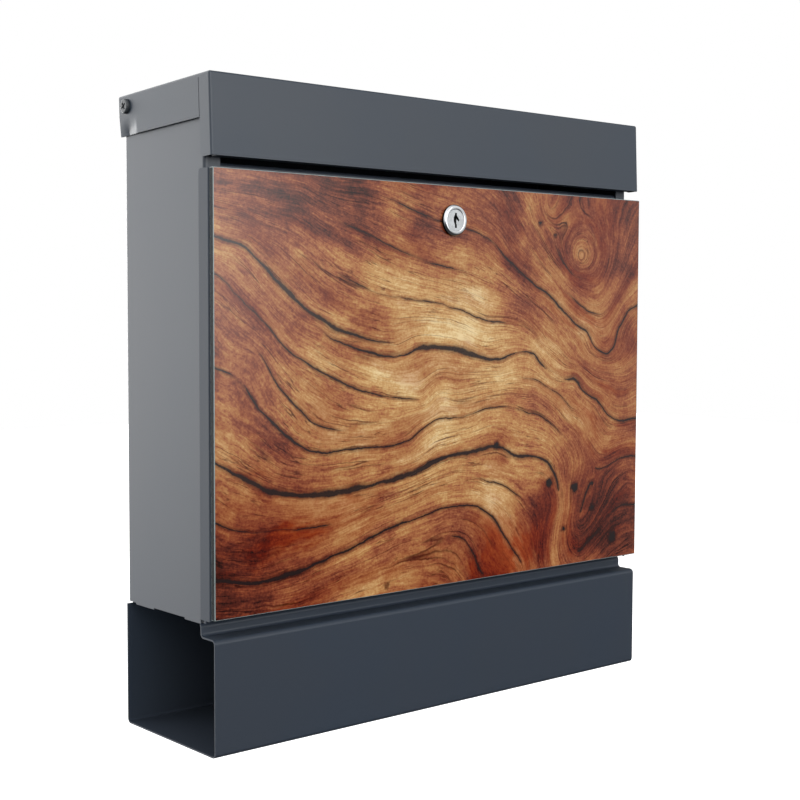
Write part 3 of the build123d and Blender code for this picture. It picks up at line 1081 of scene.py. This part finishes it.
VEINS = (
    Vein(-78, ((0.83, 0.17),)),
    Vein(-66, ((0.74, 0.04),)),
    Vein(-56, ((0.79, 0.09),)),
    Vein(-52, ((0.71, 0.02), (0.73, 0.08), (0.76, 0.14), (0.80, 0.20), (0.84, 0.22), (0.89, 0.20),
          (0.90, 0.14), (0.89, 0.09), (0.86, 0.01)),
         ((0.74, 0.00), (0.79, 0.35), (0.86, 0.00))),
    Vein(-25, ((0.62, 0.04), (0.66, 0.10), (0.70, 0.15), (0.74, 0.20), (0.79, 0.26), (0.85, 0.31),
          (0.89, 0.32), (0.93, 0.27), (0.96, 0.21), (0.99, 0.15)),
         ((0.76, 0.00), (0.85, 0.35), (0.92, 0.00))),
    Vein(8, ((0.12, 0.00), (0.21, 0.02), (0.30, 0.03), (0.37, 0.05), (0.47, 0.09), (0.59, 0.13),
          (0.67, 0.21), (0.76, 0.28), (0.85, 0.36), (0.89, 0.42), (0.91, 0.43), (0.94, 0.36),
          (0.97, 0.31), (1.00, 0.29)),
         ((0.28, 0.00), (0.36, 0.28), (0.60, 0.42), (0.70, 0.93), (0.82, 0.93), (0.88, 0.50),
          (0.97, 0.75), (1.00, 0.58))),
    Vein(36, ((0.01, 0.03), (0.09, 0.04), (0.16, 0.05), (0.26, 0.11), (0.36, 0.16), (0.47, 0.20),
          (0.62, 0.25), (0.70, 0.30), (0.78, 0.37), (0.84, 0.45), (0.91, 0.48), (1.00, 0.46)),
         ((0.20, 0.00), (0.28, 0.31), (0.50, 0.31), (0.56, 0.00))),
    Vein(70, ((0.01, 0.09), (0.09, 0.12), (0.18, 0.17), (0.27, 0.24), (0.37, 0.28), (0.49, 0.30),
          (0.59, 0.34), (0.72, 0.40), (0.80, 0.46), (0.87, 0.51), (0.94, 0.55), (1.00, 0.53)),
         ((0.22, 0.00), (0.30, 0.35), (0.50, 0.28), (0.66, 0.42), (0.73, 0.00))),
    Vein(100, ((0.00, 0.15), (0.06, 0.17), (0.10, 0.22), (0.19, 0.32), (0.23, 0.35), (0.28, 0.37),
          (0.37, 0.39), (0.51, 0.38), (0.62, 0.40), (0.71, 0.41)),
         ((0.00, 0.58), (0.08, 0.75), (0.15, 1.32), (0.24, 1.42), (0.32, 0.58), (0.38, 0.00))),
    Vein(109, ((0.01, 0.18), (0.06, 0.21), (0.10, 0.26), (0.21, 0.36), (0.31, 0.41), (0.42, 0.40),
          (0.52, 0.41), (0.62, 0.44), (0.71, 0.43), (0.82, 0.49), (0.88, 0.55), (0.93, 0.61),
          (1.00, 0.61)),
         ((0.19, 0.00), (0.26, 0.58), (0.38, 1.32), (0.46, 1.85), (0.57, 1.63), (0.66, 0.58),
          (0.80, 0.83), (0.90, 0.75), (1.00, 0.50))),
    Vein(135, ((0.00, 0.23), (0.06, 0.30), (0.13, 0.39), (0.22, 0.46), (0.32, 0.51), (0.43, 0.53),
          (0.51, 0.50), (0.58, 0.49), (0.69, 0.49), (0.75, 0.52), (0.80, 0.57), (0.86, 0.63),
          (0.90, 0.69)),
         ((0.00, 0.50), (0.12, 0.50), (0.25, 0.58), (0.38, 0.42), (0.44, 0.00), (0.60, 0.00),
          (0.75, 0.31), (0.88, 0.00))),
    Vein(160, ((0.00, 0.32), (0.09, 0.41), (0.15, 0.52), (0.23, 0.59), (0.35, 0.60), (0.42, 0.57),
          (0.47, 0.54), (0.64, 0.53), (0.71, 0.54), (0.77, 0.59), (0.82, 0.65), (0.85, 0.72)),
         ((0.07, 0.00), (0.12, 0.42), (0.22, 0.42), (0.29, 0.00))),
    Vein(171, ((0.00, 0.44), (0.08, 0.53), (0.15, 0.61), (0.19, 0.64), (0.30, 0.64), (0.40, 0.63),
          (0.49, 0.58), (0.58, 0.56), (0.69, 0.58), (0.75, 0.61), (0.80, 0.67), (0.82, 0.74),
          (0.81, 0.79)),
         ((0.00, 0.58), (0.10, 0.75), (0.30, 0.66), (0.50, 0.50), (0.60, 0.28), (0.75, 0.35),
          (0.82, 0.00))),
    Vein(197, ((0.00, 0.65), (0.06, 0.69), (0.10, 0.72), (0.21, 0.74), (0.31, 0.73), (0.43, 0.70),
          (0.55, 0.67), (0.61, 0.66), (0.66, 0.69), (0.75, 0.72), (0.78, 0.81), (0.78, 0.85)),
         ((0.00, 1.12), (0.10, 1.74), (0.30, 2.07), (0.50, 1.74), (0.60, 1.32), (0.70, 0.75),
          (0.77, 0.93))),
    Vein(214, ((0.00, 0.78), (0.12, 0.81), (0.24, 0.81), (0.34, 0.78), (0.47, 0.74), (0.59, 0.75),
          (0.65, 0.78), (0.69, 0.83), (0.72, 0.91)),
         ((0.00, 0.42), (0.20, 0.35), (0.26, 0.00), (0.48, 0.00), (0.60, 0.42), (0.71, 0.28))),
    Vein(234, ((0.00, 0.91), (0.09, 0.93), (0.18, 0.91), (0.26, 0.88), (0.35, 0.84), (0.46, 0.81),
          (0.56, 0.81), (0.60, 0.84), (0.65, 0.93), (0.68, 0.98)),
         ((0.00, 1.12), (0.16, 1.53), (0.30, 0.75), (0.50, 0.50), (0.60, 0.66), (0.67, 0.42))),
    Vein(249, ((0.00, 0.96), (0.09, 0.97), (0.21, 0.95), (0.34, 0.91), (0.44, 0.89), (0.51, 0.88),
          (0.57, 0.98)),
         ((0.49, 0.00), (0.53, 0.75), (0.57, 0.42))),
    Vein(152, ((1.00, 0.72), (0.95, 0.72), (0.90, 0.74), (0.86, 0.78), (0.83, 0.88)),
         ((0.84, 0.58), (0.95, 0.42), (1.00, 0.42))),
    Vein(170, ((1.00, 0.86), (0.95, 0.86), (0.91, 0.89), (0.86, 0.94), (0.83, 0.97)),
         ((0.84, 0.42), (1.00, 0.42))),
)
# (share across, share down, radius in mm, strength)
KNOTS = (
    (0.34, 0.26, 2.2, 0.6), (0.75, 0.77, 4.2, 1.0), (0.82, 0.79, 4.6, 0.95), (0.87, 0.85, 3.4, 0.8),
    (0.93, 0.94, 6.0, 0.9), (0.61, 0.66, 3.6, 0.9), (0.35, 0.98, 3.0, 0.7), (0.76, 0.11, 2.6, 0.7),
    (0.72, 0.08, 3.0, 0.75), (0.79, 0.90, 3.0, 0.75),
)
# (share across, share down, spread in mm, how much lighter)
GLOWS = (
    (0.52, 0.28, 46, 0.18), (0.40, 0.43, 60, 0.20), (0.75, 0.38, 26, 0.22), (0.27, 0.56, 42, 0.16),
    (0.55, 0.63, 50, 0.20), (0.62, 0.80, 36, 0.13), (0.30, 0.88, 44, 0.05), (0.18, 0.00, 46, -0.26),
    (0.97, 0.02, 46, -0.28), (0.55, 0.00, 50, -0.20), (0.02, 0.95, 44, -0.26), (0.90, 0.88, 44, -0.18),
    (0.50, 1.00, 60, -0.10), (0.10, 0.60, 40, 0.08), (0.82, 0.02, 30, -0.08), (0.35, 0.80, 40, 0.08),
    (0.66, 0.80, 36, 0.07), (0.20, 0.70, 44, 0.06), (0.30, 0.04, 28, -0.14), (0.80, 0.62, 30, 0.14),
    (0.83, 0.15, 7, 0.26), (0.79, 0.07, 6, 0.22), (0.87, 0.33, 20, 0.12), (0.96, 0.50, 26, 0.10),
    (0.95, 0.78, 26, 0.08), (0.97, 0.97, 26, -0.12),
)
# (share across, share down, spread in mm, how much redder)
EMBERS = (
    (0.05, 0.85, 66, 0.60), (0.88, 0.84, 60, 0.65), (0.92, 0.45, 50, 0.40), (0.80, 0.10, 66, 0.50),
    (0.08, 0.28, 50, 0.25), (0.50, 1.00, 56, 0.55), (0.66, 0.97, 36, 0.55), (0.20, 0.78, 40, 0.30),
    (0.45, 0.00, 50, 0.35),
)


class Timber:
    """The growth lines of the printed timber, as one smooth field over the pane."""

    def __init__(self, width: float, height: float) -> None:
        """Fit the field to the veins.

        The field is a thin plate: a plane plus, for each vein point, a weight times d² log d.

        Args:
            width: the pane's width in millimetres.
            height: the pane's height in millimetres.
        """
        self.size = np.array([width, height])
        self.knots = np.concatenate([np.array(vein.route) * self.size for vein in VEINS])
        levels = np.concatenate([np.full(len(vein.route), float(vein.level)) for vein in VEINS])
        count = len(self.knots)
        plane = np.column_stack((np.ones(count), self.knots / 100))
        system = np.zeros((count + 3, count + 3))
        system[:count, :count] = self.kernel(self.knots) + np.eye(count) * 0.004
        system[:count, count:] = plane
        system[count:, :count] = plane.T
        self.weights = np.linalg.solve(system, np.concatenate((levels, np.zeros(3))))

    def kernel(self, places: np.ndarray) -> np.ndarray:
        """Work out d² log d from each place to each vein point, with d in decimetres.

        Args:
            places: points in millimetres.

        Returns:
            A row for each place and a column for each vein point.
        """
        gap = places[:, None, :] - self.knots[None]
        square = np.maximum((gap ** 2).sum(axis=-1) / 100 ** 2, 1e-12)
        return 0.5 * square * np.log(square)

    def level(self, places: np.ndarray) -> np.ndarray:
        """Read the field.

        Args:
            places: points in millimetres from the pane's upper left corner.

        Returns:
            The field there.
        """
        plane = np.column_stack((np.ones(len(places)), places / 100))
        return np.concatenate((self.kernel(places), plane), axis=1) @ self.weights

    def slope(self, places: np.ndarray, step: float = 0.5) -> np.ndarray:
        """Read how steep the field is, from differences over a small step each way.

        Args:
            places: points in millimetres.
            step: the step in millimetres.

        Returns:
            The steepness there, held above a small least value.
        """
        across = self.level(places + [step, 0]) - self.level(places - [step, 0])
        down = self.level(places + [0, step]) - self.level(places - [0, step])
        return np.maximum(np.hypot(across, down) / (2 * step), 0.25)

    def cracks(
        self, places: np.ndarray, level: np.ndarray, slope: np.ndarray, veins: Sequence[Vein],
    ) -> tuple[np.ndarray, np.ndarray]:
        """Find the nearest vein's crack for each place.

        Args:
            places: points in millimetres.
            level: the field there.
            slope: how steep it is there.
            veins: the veins to look at, of which no two lie side by side.

        Returns:
            The signed distance to the vein's line, and the crack's half width, both in millimetres.
        """
        nearest = np.full(len(places), np.inf)
        rift = np.full(len(places), 99.0)
        gap = np.zeros(len(places))
        for vein in veins:
            route = np.array(vein.route)
            share = np.linspace(0, len(route) - 1, 24 * len(route))
            number = np.arange(len(route))
            samples = np.column_stack([np.interp(share, number, route[:, i]) for i in (0, 1)])
            stops = np.array(vein.crack)
            width = np.interp(samples[:, 0], stops[:, 0], stops[:, 1], left=0.0, right=0.0)
            samples, width = samples[width > 0], width[width > 0]
            far = np.hypot(*(places[:, None, :] - (samples * self.size)[None]).transpose(2, 0, 1))
            best = far.argmin(axis=1)
            distance = far[np.arange(len(places)), best]
            closer = distance < nearest
            nearest = np.where(closer, distance, nearest)
            rift = np.where(closer, (level - vein.level) / slope, rift)
            gap = np.where(closer, width[best], gap)
        return rift, gap * np.clip((5.5 - nearest) / 2.5, 0.0, 1.0)

    def patches(
        self, places: np.ndarray, marks: Sequence[tuple[float, float, float, float]],
    ) -> np.ndarray:
        """Add up round soft patches: each is its strength times exp(-(distance / spread)²).

        Args:
            places: points in millimetres.
            marks: each patch's share across, share down, spread and strength.

        Returns:
            The sum at each place.
        """
        total = np.zeros(len(places))
        for across, down, spread, strength in marks:
            gap = places - np.array([across, down]) * self.size
            total += strength * np.exp(-(gap ** 2).sum(axis=1) / spread ** 2)
        return total


@dataclass
class GlazedDoor(SubAssembly):
    """The door: a folded pan, tape, and a pane that carries the timber print."""

    body: str = "door"
    cell: float = 2.0 * MM
    arris: float = 0.45 * MM
    hole: float = 9.6 * MM
    ring: int = 5
    block: int = 10

    def build(self) -> None:
        """Make the pan, the tape and the pane."""
        self.copy("door_pan", "folded", "painted_steel", Surface.PAN_PAINT)
        self.copy("glass_tape", "strips", "foam_tape", Surface.FOAM, edge=0.1 * MM)
        # the third finish, on the bevelled arris, is a painted highlight
        glass = [Surface.PRINT, Surface.GLASS_EDGE, Surface.ARRIS_PAINTED_HIGHLIGHT]
        self.keep(self.pane(), "printed_glass", glass, ["door_glass"])

    def lines(self, low: float, high: float, through: float) -> np.ndarray:
        """Space grid lines evenly on both sides of one that must be met.

        Args:
            low: the first line.
            high: the last line.
            through: the line that must be met.

        Returns:
            The lines' places.
        """
        before = np.linspace(low, through, int(round((through - low) / self.cell)) + 1)
        after = np.linspace(through, high, int(round((high - through) / self.cell)) + 1)
        return np.concatenate((before, after[1:]))

    def pane(self) -> bpy.types.Object:
        """Make the pane: a flat grid with a round hole, given its thickness and its arris.

        Near the lock, square rings of grid points blend into circles: a point's place is
        (1 - w) times its place on the hole's circle plus w times its place on the grid, where w
        goes from 0 at the hole to 1 at the block's rim.

        Returns:
            The pane, with its grain as attributes.
        """
        low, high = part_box("door_glass")
        lock = middle_of("lock_housing")
        xs = self.lines(low.x, high.x, lock.x)
        zs = self.lines(low.z, high.z, lock.z)
        column = np.arange(len(xs)) - int(np.argmin(np.abs(xs - lock.x)))
        row = np.arange(len(zs)) - int(np.argmin(np.abs(zs - lock.z)))
        steps = np.stack(np.meshgrid(column, row), axis=-1).astype(float)
        flat = np.stack(np.meshgrid(xs - lock.x, zs - lock.z), axis=-1)
        reach = np.abs(steps).max(axis=-1)
        angle = np.arctan2(steps[..., 1], steps[..., 0])
        circle = self.hole * np.stack((np.cos(angle), np.sin(angle)), axis=-1)
        share = np.clip((reach - self.ring) / (self.block - self.ring), 0.0, 1.0)[..., None]
        spot = (1 - share) * circle + share * flat
        front = np.full(reach.shape, low.y)
        points = np.stack((spot[..., 0] + lock.x, front, spot[..., 1] + lock.z), axis=-1)
        quads = np.stack(self.cell_corners(np.arange(reach.size).reshape(reach.shape)), axis=-1)
        outer = np.minimum.reduce(self.cell_corners(reach)) >= self.ring
        mesh = bpy.data.meshes.new("door_pane")
        mesh.from_pydata(points.reshape(-1, 3).tolist(), [], quads[outer].tolist())
        self.write_grain(mesh, points.reshape(-1, 3), low, high)
        work = bmesh.new()
        work.from_mesh(mesh)
        bmesh.ops.delete(work, geom=[v for v in work.verts if not v.link_faces], context="VERTS")
        work.to_mesh(mesh)
        work.free()
        piece = add_object("door_pane", mesh)
        thick = piece.modifiers.new("glass_thickness", "SOLIDIFY")
        thick.thickness = high.y - low.y
        thick.offset = -1.0
        thick.material_offset = 1
        thick.material_offset_rim = 1
        bevel = piece.modifiers.new("arris", "BEVEL")
        bevel.width = self.arris
        bevel.segments = 2
        bevel.limit_method = "ANGLE"
        bevel.angle_limit = radians(50)
        # the arris faces take the pale finish: a painted highlight
        bevel.material = 2
        return piece

    @staticmethod
    def cell_corners(grid: np.ndarray) -> list[np.ndarray]:
        """Read a grid's values at the four corners of each of its cells.

        Args:
            grid: one value for each grid point.

        Returns:
            The values at each cell's corners, in order round it.
        """
        return [grid[:-1, :-1], grid[:-1, 1:], grid[1:, 1:], grid[1:, :-1]]

    @staticmethod
    def write_grain(mesh: bpy.types.Mesh, points: np.ndarray, low: Vector, high: Vector) -> None:
        """Store the timber's field on the pane's points.

        Args:
            mesh: the pane's mesh.
            points: its points.
            low: the pane's lowest corner.
            high: the pane's highest corner.
        """
        width, height = (high.x - low.x) / MM, (high.z - low.z) / MM
        timber = Timber(width, height)
        places = np.column_stack((points[:, 0] - low.x, high.z - points[:, 2])) / MM
        level = timber.level(places)
        slope = timber.slope(places)
        cracked = sorted((vein for vein in VEINS if vein.crack), key=lambda vein: vein.level)
        values = {
            "grain": level,
            "run": 0.8 * places[:, 0] + 0.6 * places[:, 1],
            "glow": timber.patches(places, GLOWS),
            "ember": np.clip(timber.patches(places, EMBERS), 0, 1),
            "knot": timber.patches(places, KNOTS),
        }
        for first, group in enumerate(CRACK_GROUPS):
            veins = cracked[first::len(CRACK_GROUPS)]
            rift, gap = timber.cracks(places, level, slope, veins)
            values[f"rift_{group}"], values[f"gap_{group}"] = rift, gap
        for name, numbers in values.items():
            layer = mesh.attributes.new(name, "FLOAT", "POINT")
            layer.data.foreach_set("value", numbers.astype(np.float32))


# ---------------------------------------------------------------- lock

@dataclass
class CylinderLock(SubAssembly):
    """The cylinder lock: a chromed rosette on the door, and a plug with its cam that turn."""

    body: str = "door"
    bore: float = 7.25 * MM
    barrel: float = 9.0 * MM
    flat_half: float = 8.2 * MM
    chamfer: float = 1.15 * MM
    head: float = 2.5 * MM
    edge: float = 0.12 * MM
    keyway: float = 6.0 * MM
    key_depth: float = 8.1 * MM

    def build(self) -> None:
        """Turn the rosette and copy the other parts with softened edges."""
        # the rosette's second finish, dark chrome on the head's side, is painted shade
        self.keep(self.rosette(), "chrome_lock", [Surface.CHROME, Surface.CHROME_PAINTED_SHADE], ["lock_housing"])
        self.copy("lock_gasket", "ring", "black_rubber", Surface.RUBBER, edge=0.08 * MM)
        self.copy("lock_nut", "hex", "zinc_steel", Surface.ZINC, edge=0.3 * MM)
        # the plug's second finish, black rubber, is painted shade in the key slot
        finishes = (Surface.BRUSHED, Surface.RUBBER)
        plug = self.copy("lock_plug", "keyed", "chrome_lock", *finishes, body="lock")
        self.paint_keyway_shade(plug)
        for node in ("lock_cam", "cam_washer", "cam_screw"):
            self.copy(node, "steel", "zinc_steel", Surface.ZINC, body="lock")

    def paint_keyway_shade(self, plug: bpy.types.Object) -> None:
        """Paint the shade deep in the key slot: its walls take the black rubber finish.

        Args:
            plug: the plug, whose second material is the painted shade.
        """
        low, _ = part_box("lock_plug")
        axis = middle_of("lock_housing")
        mesh = plug.data
        middles = face_middles(mesh)
        depth = middles[:, 1] - low.y
        radius = np.hypot(middles[:, 0] - axis.x, middles[:, 2] - axis.z)
        keyway_shade = (radius < self.keyway) & (depth > 0.05 * MM) & (depth < self.key_depth)
        mesh.polygons.foreach_set("material_index", keyway_shade.astype(np.int32))

    def rosette(self) -> bpy.types.Object:
        """Turn the rosette and its barrel, then press the barrel's two flats.

        The section goes out along the barrel's end, up its wall, round the head's chamfered rim,
        across its face and back through the bore. Points of the barrel with |x| past the flats are
        moved onto them. The head's outer side takes the dark chrome, which is painted shade.

        Returns:
            The rosette with its barrel.
        """
        low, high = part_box("lock_housing")
        centre = Vector((middle_of("lock_housing").x, low.y, middle_of("lock_housing").z))
        outer = (high.x - low.x) / 2
        length = high.y - low.y
        ease = 0.12 * MM
        section = np.array([
            (self.bore, -length), (self.barrel, -length),
            (self.barrel, -self.head), (outer, -self.head),
            (outer, -self.chamfer - ease), (outer - ease / 2, -self.chamfer + ease / 2),
            (outer - self.chamfer + ease / 2, -ease / 2), (outer - self.chamfer - ease, 0.0),
            (self.bore + 3 * ease, 0.0), (self.bore + ease, -ease / 2), (self.bore, -2 * ease),
        ])
        points = turned(section, Vector((0, -1, 0)), centre, 96)
        on_barrel = points[:, 1] > low.y + self.head + 1e-6
        pressed = np.clip(points[:, 0], centre.x - self.flat_half, centre.x + self.flat_half)
        points[:, 0] = np.where(on_barrel, pressed, points[:, 0])
        piece = solid_from("lock_rosette", points, ring_faces(len(section), 96, closed=True), 30.0)
        # faces on the head's outer side take the dark chrome: painted shade
        middles = face_middles(piece.data)
        radius = np.hypot(middles[:, 0] - centre.x, middles[:, 2] - centre.z)
        shaded_flank = (radius > outer - ease) & (middles[:, 1] > low.y + self.chamfer)
        piece.data.polygons.foreach_set("material_index", shaded_flank.astype(np.int32))
        return piece


# ---------------------------------------------------------------- studio

@dataclass(frozen=True)
class SkyPatch:
    """A soft bright patch of the sky, from nothing at the cosine edge to its strength at full."""

    way: tuple[float, float, float]
    edge: float
    full: float
    strength: float


SKY = (
    SkyPatch((-0.56, 0.80, 0.24), 0.60, 0.98, 2.5),
    SkyPatch((-0.92, -0.10, 0.38), 0.40, 1.0, 0.5),
    SkyPatch((-0.20, -0.72, 0.66), 0.25, 1.0, 0.9),
    SkyPatch((0.80, -0.58, 0.22), 0.88, 1.0, 0.6),
    SkyPatch((0.20, 0.98, 0.00), 0.86, 0.99, 6.0),
)


@dataclass
class Studio:
    """A plain pale studio: soft light all round, a floor far below, and the camera."""

    eye: tuple[float, float, float] = (-0.656678, -0.829019, 0.029938)
    yaw: float = 0.70837
    pitch: float = -0.06095
    roll: float = 0.00352
    lens: float = 64.93
    floor_drop: float = 1.05
    floor_half: float = 14.0

    def build(self) -> None:
        """Place the camera, the floor and the light."""
        self.place_camera()
        self.lay_floor()
        self.light_world()
        bpy.context.scene.view_settings.view_transform = "Standard"

    def place_camera(self) -> None:
        """Aim the camera by its yaw from +Y towards +X, its pitch and its roll."""
        flat = cos(self.pitch)
        ahead = Vector((sin(self.yaw) * flat, cos(self.yaw) * flat, sin(self.pitch)))
        level = Vector((cos(self.yaw), -sin(self.yaw), 0.0))
        above = level.cross(ahead)
        right = cos(self.roll) * level + sin(self.roll) * above
        up = cos(self.roll) * above - sin(self.roll) * level
        data = bpy.data.cameras.new("view")
        data.lens = self.lens
        data.sensor_width = 36.0
        data.clip_start = 0.01
        camera = bpy.data.objects.new("view", data)
        turn = Matrix((right, up, -ahead)).transposed().to_4x4()
        camera.matrix_world = Matrix.Translation(self.eye) @ turn
        bpy.context.scene.collection.objects.link(camera)
        bpy.context.scene.camera = camera

    def lay_floor(self) -> None:
        """Lay a pale floor about as far below as a mailbox hangs above the ground."""
        low = CAD_BOX[0].z - self.floor_drop
        half = self.floor_half
        corners = [(-half, -half, low), (half, -half, low), (half, half, low), (-half, half, low)]
        mesh = bpy.data.meshes.new("floor")
        mesh.from_pydata(corners, [], [(0, 1, 2, 3)])
        floor = add_object("floor", mesh)
        material = bpy.data.materials.new("pale_floor")
        material.use_nodes = True
        graph = Graph(material.node_tree)
        cloud = graph.noise(graph.place(), 0.8, 3.0)
        tint = graph.mix(cloud, paint("#f2f2f2"), paint("#ececec"))
        graph.finish({
            "Base Color": tint, "Roughness": 0.9,
            "Emission Color": (1.0, 1.0, 1.0, 1.0), "Emission Strength": 0.55,
        })
        mesh.materials.append(material)
        floor.visible_glossy = False
        floor.visible_diffuse = False

    def light_world(self) -> None:
        """Light the object from a sky of soft patches and a window, which the camera sees as white."""
        world = bpy.data.worlds.new("soft_studio")
        world.use_nodes = True
        bpy.context.scene.world = world
        graph = Graph(world.node_tree)
        ray = graph.node("ShaderNodeTexCoord", output="Generated")
        parts = graph.node("ShaderNodeSeparateXYZ", inputs={0: ray})
        right, back, up = (Signal(graph, parts.socket.node.outputs[axis]) for axis in range(3))
        light = 0.05 + up.rise(-0.30, 0.30) * 0.13
        settings = {"operation": "DOT_PRODUCT"}
        for patch in SKY:
            towards = tuple(Vector(patch.way).normalized())
            near = graph.node("ShaderNodeVectorMath", settings, {0: ray, 1: towards}, "Value")
            shade = up.rise(-0.32, 0.0) * 0.28 + 0.72
            light = near.rise(patch.edge, patch.full) * shade * patch.strength + light
        aside = right / (-1 * back).most(0.05)
        window = aside.rise(0.84, 0.56) * aside.rise(-0.9, -0.3) * (-1 * back).rise(0.2, 0.4)
        light = window * up.rise(-0.16, 0.06) * up.rise(0.62, 0.40) * 3.1 + light
        seen = graph.node("ShaderNodeLightPath", output="Is Camera Ray")
        strength = light * (1 - seen) + 1.0 * seen
        inputs = {"Color": (1.0, 1.0, 1.0, 1.0), "Strength": strength}
        sky = graph.node("ShaderNodeBackground", inputs=inputs)
        graph.node("ShaderNodeOutputWorld", inputs={"Surface": sky})


def main() -> None:
    """Build the studio and every sub-assembly in order, and report each piece."""
    logging.basicConfig(level=logging.INFO, format="%(name)s: %(message)s")
    Studio().build()
    palette = make_palette()
    parts = (BodyShell, WallSpacers, Rivets, LetterLid, HingeHardware, GlazedDoor, CylinderLock)
    for part in parts:
        assembly = part(palette)
        assembly.build()
        assembly.report()


if __name__ == "__main__":
    main()
